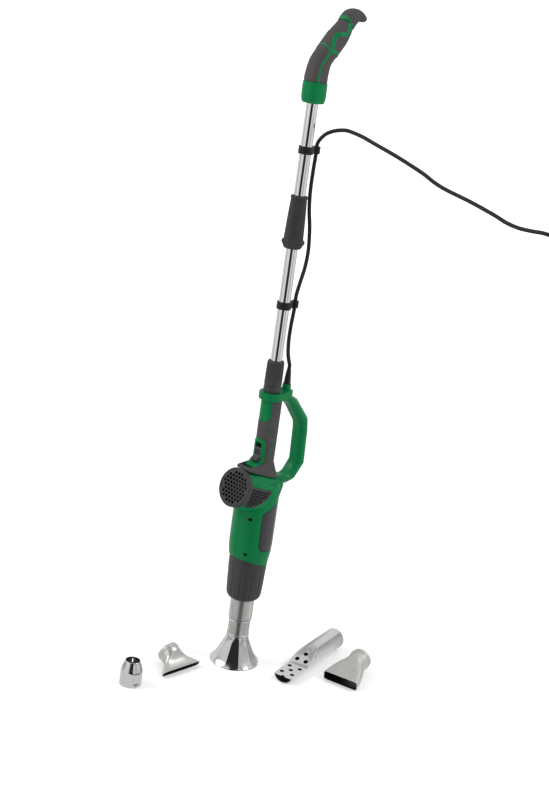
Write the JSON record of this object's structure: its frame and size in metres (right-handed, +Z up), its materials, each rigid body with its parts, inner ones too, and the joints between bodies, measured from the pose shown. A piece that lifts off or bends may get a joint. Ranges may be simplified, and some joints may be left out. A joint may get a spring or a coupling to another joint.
{
  "type": "electric weed burner",
  "caption": "Hot-air gun on a two-part pole with a loop handle, an angled top handle, a bell nozzle and loose push-on nozzles.",
  "frame": {"origin": "on the ground, under the middle of the gun with its loose nozzles, leaving the free cord out", "axes": "+Z up along the gun's axis, -Y the way the air intake and the switch face, +X the gun's own left side"},
  "size_m": [0.7062, 0.4769, 1.1025],
  "materials": {
    "green_plastic": "moulded, light sheen",
    "soft_grip": "matte soft-touch",
    "black_plastic": "moulded",
    "stainless_steel": "polished",
    "chromed_tube": "mirror",
    "mica": "matte",
    "heater_ceramic": "matte",
    "motor_can": null,
    "circuit_board": "lacquered",
    "cord_rubber": "matte"
  },
  "bodies": {
    "gun": {"clip_lower": "black_plastic", "clip_upper": "black_plastic", "coil_tie": "black_plastic", "control_board": "circuit_board", "cord_coil": "cord_rubber", "cord_run": "cord_rubber", "cord_tail": "cord_rubber", "grip_left": "soft_grip", "grip_right": "soft_grip", "handle_core": "green_plastic", "handle_end_cap": "black_plastic", "handle_grip": "soft_grip", "heater_core": "heater_ceramic", "housing_left": "green_plastic", "housing_right": "green_plastic", "housing_screw_1": "stainless_steel", "housing_screw_2": "stainless_steel", "intake_cover": "black_plastic", "lower_tube": "chromed_tube", "mica_sleeve": "mica", "mid_grip_sleeve": "soft_grip", "motor": "motor_can", "motor_mount": "black_plastic", "nose_shell": "black_plastic", "outlet_tube": "stainless_steel", "plug_body": "cord_rubber", "plug_pin_1": "stainless_steel", "plug_pin_2": "stainless_steel", "pole_socket": "black_plastic", "rear_pad_left": "soft_grip", "rear_pad_right": "soft_grip", "side_grille_left": "black_plastic", "side_grille_right": "black_plastic", "strain_relief": "black_plastic", "switch_bezel": "green_plastic", "switch_body": "black_plastic", "thermal_cutout": "stainless_steel", "tube_joiner": "stainless_steel", "upper_tube": "chromed_tube"},
    "bell": {"bell_nozzle": "stainless_steel"},
    "switch": {"switch_slider": "black_plastic"},
    "rotor": {"fan_impeller": "black_plastic", "fan_shaft": "stainless_steel"},
    "nut": {"lock_nut": "black_plastic"},
    "reducer": {"reducer_nozzle": "stainless_steel"},
    "fishtail": {"fishtail_nozzle": "stainless_steel"},
    "lighter": {"lighter_nozzle": "stainless_steel"},
    "flat": {"flat_nozzle": "stainless_steel"}
  },
  "joints": [
    {"name": "bell_nozzle_turn", "type": "hinge", "parent": "gun", "child": "bell", "pos_m": [-0.06575, 0.01699, 0.06], "axis": [0, 0, 1], "range_deg": [-180, 180]},
    {"name": "switch_slide", "type": "slide", "parent": "gun", "child": "switch", "axis": [0, 0, 1], "range_m": [0, 0.009]},
    {"name": "fan_spin", "type": "hinge", "parent": "gun", "child": "rotor", "pos_m": [-0.06575, 0.01699, 0.245], "axis": [0, 0, 1], "continuous": true},
    {"name": "lock_nut_turn", "type": "hinge", "parent": "gun", "child": "nut", "pos_m": [-0.06575, 0.01699, 0.51], "axis": [0, 0, 1], "range_deg": [0, 180]},
    {"name": "reducer_lift", "type": "slide", "parent": "gun", "child": "reducer", "axis": [0, 0, 1], "range_m": [0, 0.1]},
    {"name": "fishtail_lift", "type": "slide", "parent": "gun", "child": "fishtail", "axis": [0, 0, 1], "range_m": [0, 0.1]},
    {"name": "lighter_lift", "type": "slide", "parent": "gun", "child": "lighter", "axis": [0, 0, 1], "range_m": [0, 0.1]},
    {"name": "flat_lift", "type": "slide", "parent": "gun", "child": "flat", "axis": [0, 0, 1], "range_m": [0, 0.1]}
  ]
}
